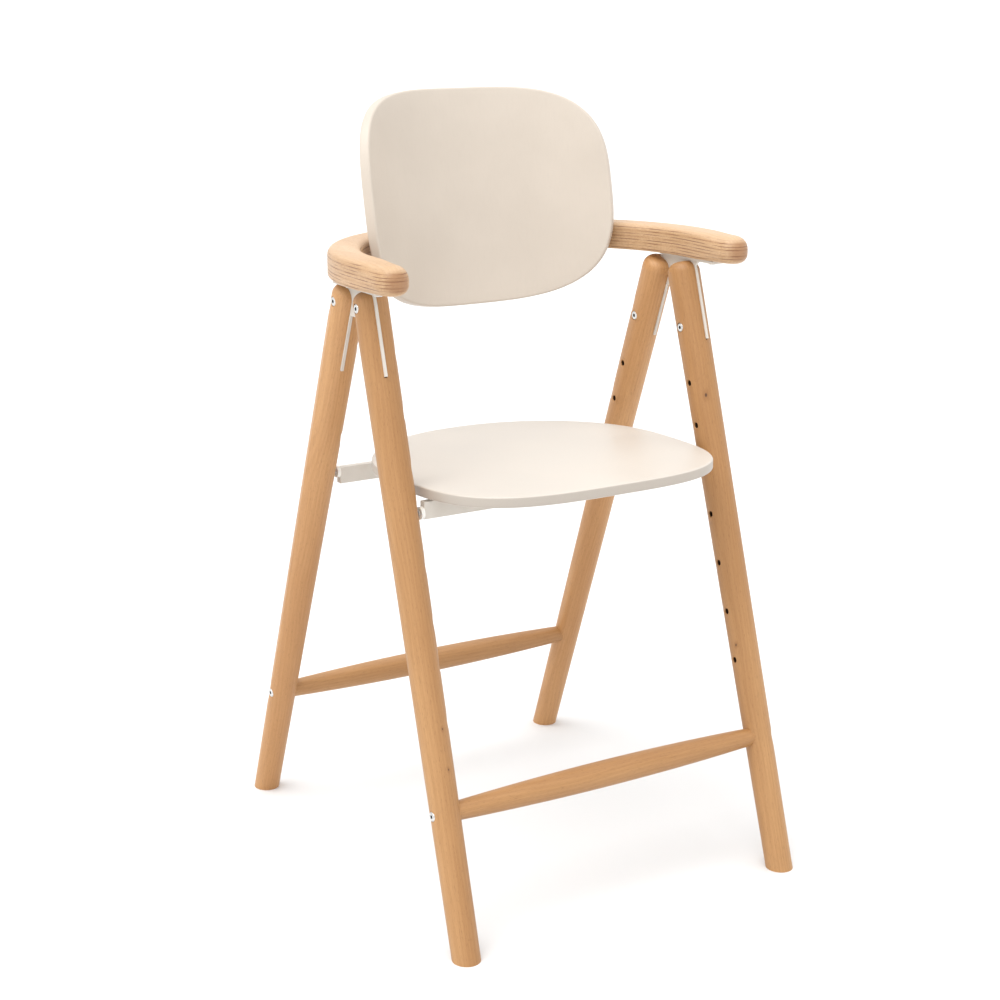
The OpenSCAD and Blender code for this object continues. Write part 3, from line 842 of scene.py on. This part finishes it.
def make_sky():
    """White light that grows with the square of the height from the horizon to straight up."""
    world = bpy.data.worlds.new("studio")
    world.use_nodes = True
    tree = world.node_tree
    direction = tree.nodes.new("ShaderNodeTexCoord").outputs["Generated"]
    height = tree.nodes.new("ShaderNodeSeparateXYZ")
    square = tree.nodes.new("ShaderNodeMath")
    square.operation = "MULTIPLY"
    strength = tree.nodes.new("ShaderNodeMapRange")
    strength.inputs["To Min"].default_value = SKY_HORIZON
    strength.inputs["To Max"].default_value = SKY_ZENITH
    background = tree.nodes["Background"]
    background.inputs["Color"].default_value = (1, 1, 1, 1)
    tree.links.new(direction, height.inputs[0])
    tree.links.new(height.outputs[2], square.inputs[0])
    tree.links.new(height.outputs[2], square.inputs[1])
    tree.links.new(square.outputs[0], strength.inputs["Value"])
    tree.links.new(strength.outputs["Result"], background.inputs["Strength"])
    bpy.context.scene.world = world
    bpy.context.scene.view_settings.view_transform = "Standard"


def make_window():
    """A broad, soft sun from the left."""
    sun = bpy.data.lights.new("window_left", "SUN")
    sun.energy = SUN_STRENGTH
    sun.angle = SUN_ANGLE
    lamp = bpy.data.objects.new("window_left", sun)
    lamp.rotation_euler = Vector(SUN_FROM).to_track_quat("Z", "Y").to_euler()
    bpy.context.scene.collection.objects.link(lamp)


def make_camera():
    data = bpy.data.cameras.new("camera")
    data.sensor_width = 36
    data.lens = CAMERA_LENS
    data.clip_end = 100
    camera = bpy.data.objects.new("camera", data)
    camera.location = CAMERA_PLACE
    camera.rotation_euler = (math.radians(90) - CAMERA_LOOKS_DOWN, 0, CAMERA_TURN)
    bpy.context.scene.collection.objects.link(camera)
    bpy.context.scene.camera = camera


# ------------------------------------------------------------------ the chair

def dress(material, *nodes):
    """Gives CAD nodes their material."""
    for node in nodes:
        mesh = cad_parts[node].data
        mesh.materials.clear()
        mesh.materials.append(material)


def dress_leg(node, side, rake, seed, palette, knots=()):
    dress(leg_beech(node, side, rake, seed, palette, knots), node)


def make_object():
    steel = cream_steel()
    plastic = nylon()
    metal = screw_steel()
    dress_leg("leg_front_left", -1, FRONT_RAKE, 1.3, SOLID_BEECH, (HIGH_SPECK, LOW_SPECK))
    dress_leg("leg_front_right", 1, FRONT_RAKE, 5.9, SOLID_BEECH, (PIN_KNOT, DARK_STREAK))
    # The rear legs take the lighter copy of beech, painted light
    dress_leg("leg_rear_left", -1, -REAR_RAKE, 9.2, PAINTED_LIGHT_BEECH)
    dress_leg("leg_rear_right", 1, -REAR_RAKE, 13.1, PAINTED_LIGHT_BEECH)
    dress(stretcher_beech("stretcher_front", 17.3), "stretcher_front")
    dress(stretcher_beech("stretcher_rear", 21.8), "stretcher_rear")
    dress(steel, "top_bracket_left", "top_bracket_right", "crossbar_front", "crossbar_rear")
    dress(plastic, "backrest_spacers", "seat_board_spacers",
          "crossbar_front_collars", "crossbar_rear_collars")
    dress(metal, "stretcher_inserts", "armrest_screws", "seat_board_screws",
          "crossbar_front_studs", "crossbar_rear_studs")
    make_armrest(laminated_beech())
    # The seat's upright rim gets painted shade
    make_seat(cream_lacquer("seat_lacquer", (204, 196, 186), rim_painted_shade=0.65))
    make_backrest(cream_lacquer("back_lacquer", (201, 190, 177)))
    make_all_screws((metal, socket_shade_steel()))


make_camera()
make_floor()
make_sky()
make_window()
make_object()

bpy.context.view_layer.update()
